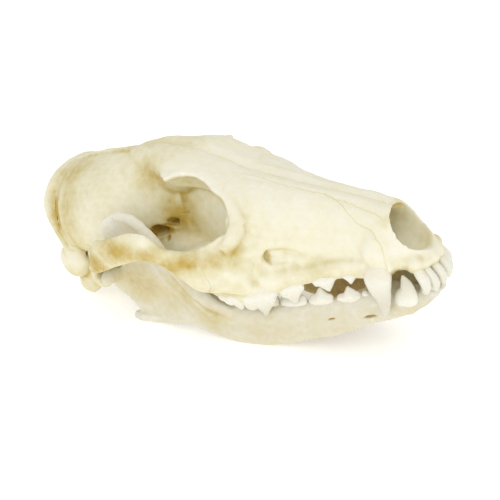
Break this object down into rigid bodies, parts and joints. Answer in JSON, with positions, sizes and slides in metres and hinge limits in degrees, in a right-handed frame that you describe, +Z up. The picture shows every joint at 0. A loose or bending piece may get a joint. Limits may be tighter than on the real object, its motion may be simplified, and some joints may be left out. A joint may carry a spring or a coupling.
{
  "type": "fox skull",
  "caption": "Red fox skull, cleaned bone, with both lower jaw bones closed in place and the teeth fused in; lies as it would rest on a table.",
  "frame": {"origin": "middle of the bounding box in plan, on the table the skull rests on", "axes": "+X towards the incisor teeth, +Y towards the animal's left, +Z up"},
  "size_m": [0.147, 0.074, 0.06],
  "materials": {
    "cranium_bone": "dry ivory bone, faintly satin, yellower in hollows and on the crests",
    "jaw_bone": "dry ivory bone, faintly satin",
    "enamel": "smooth off-white tooth enamel"
  },
  "bodies": {
    "root": {"cranium": "cranium_bone", "mandible_left": "jaw_bone", "mandible_right": "jaw_bone"}
  },
  "joints": []
}
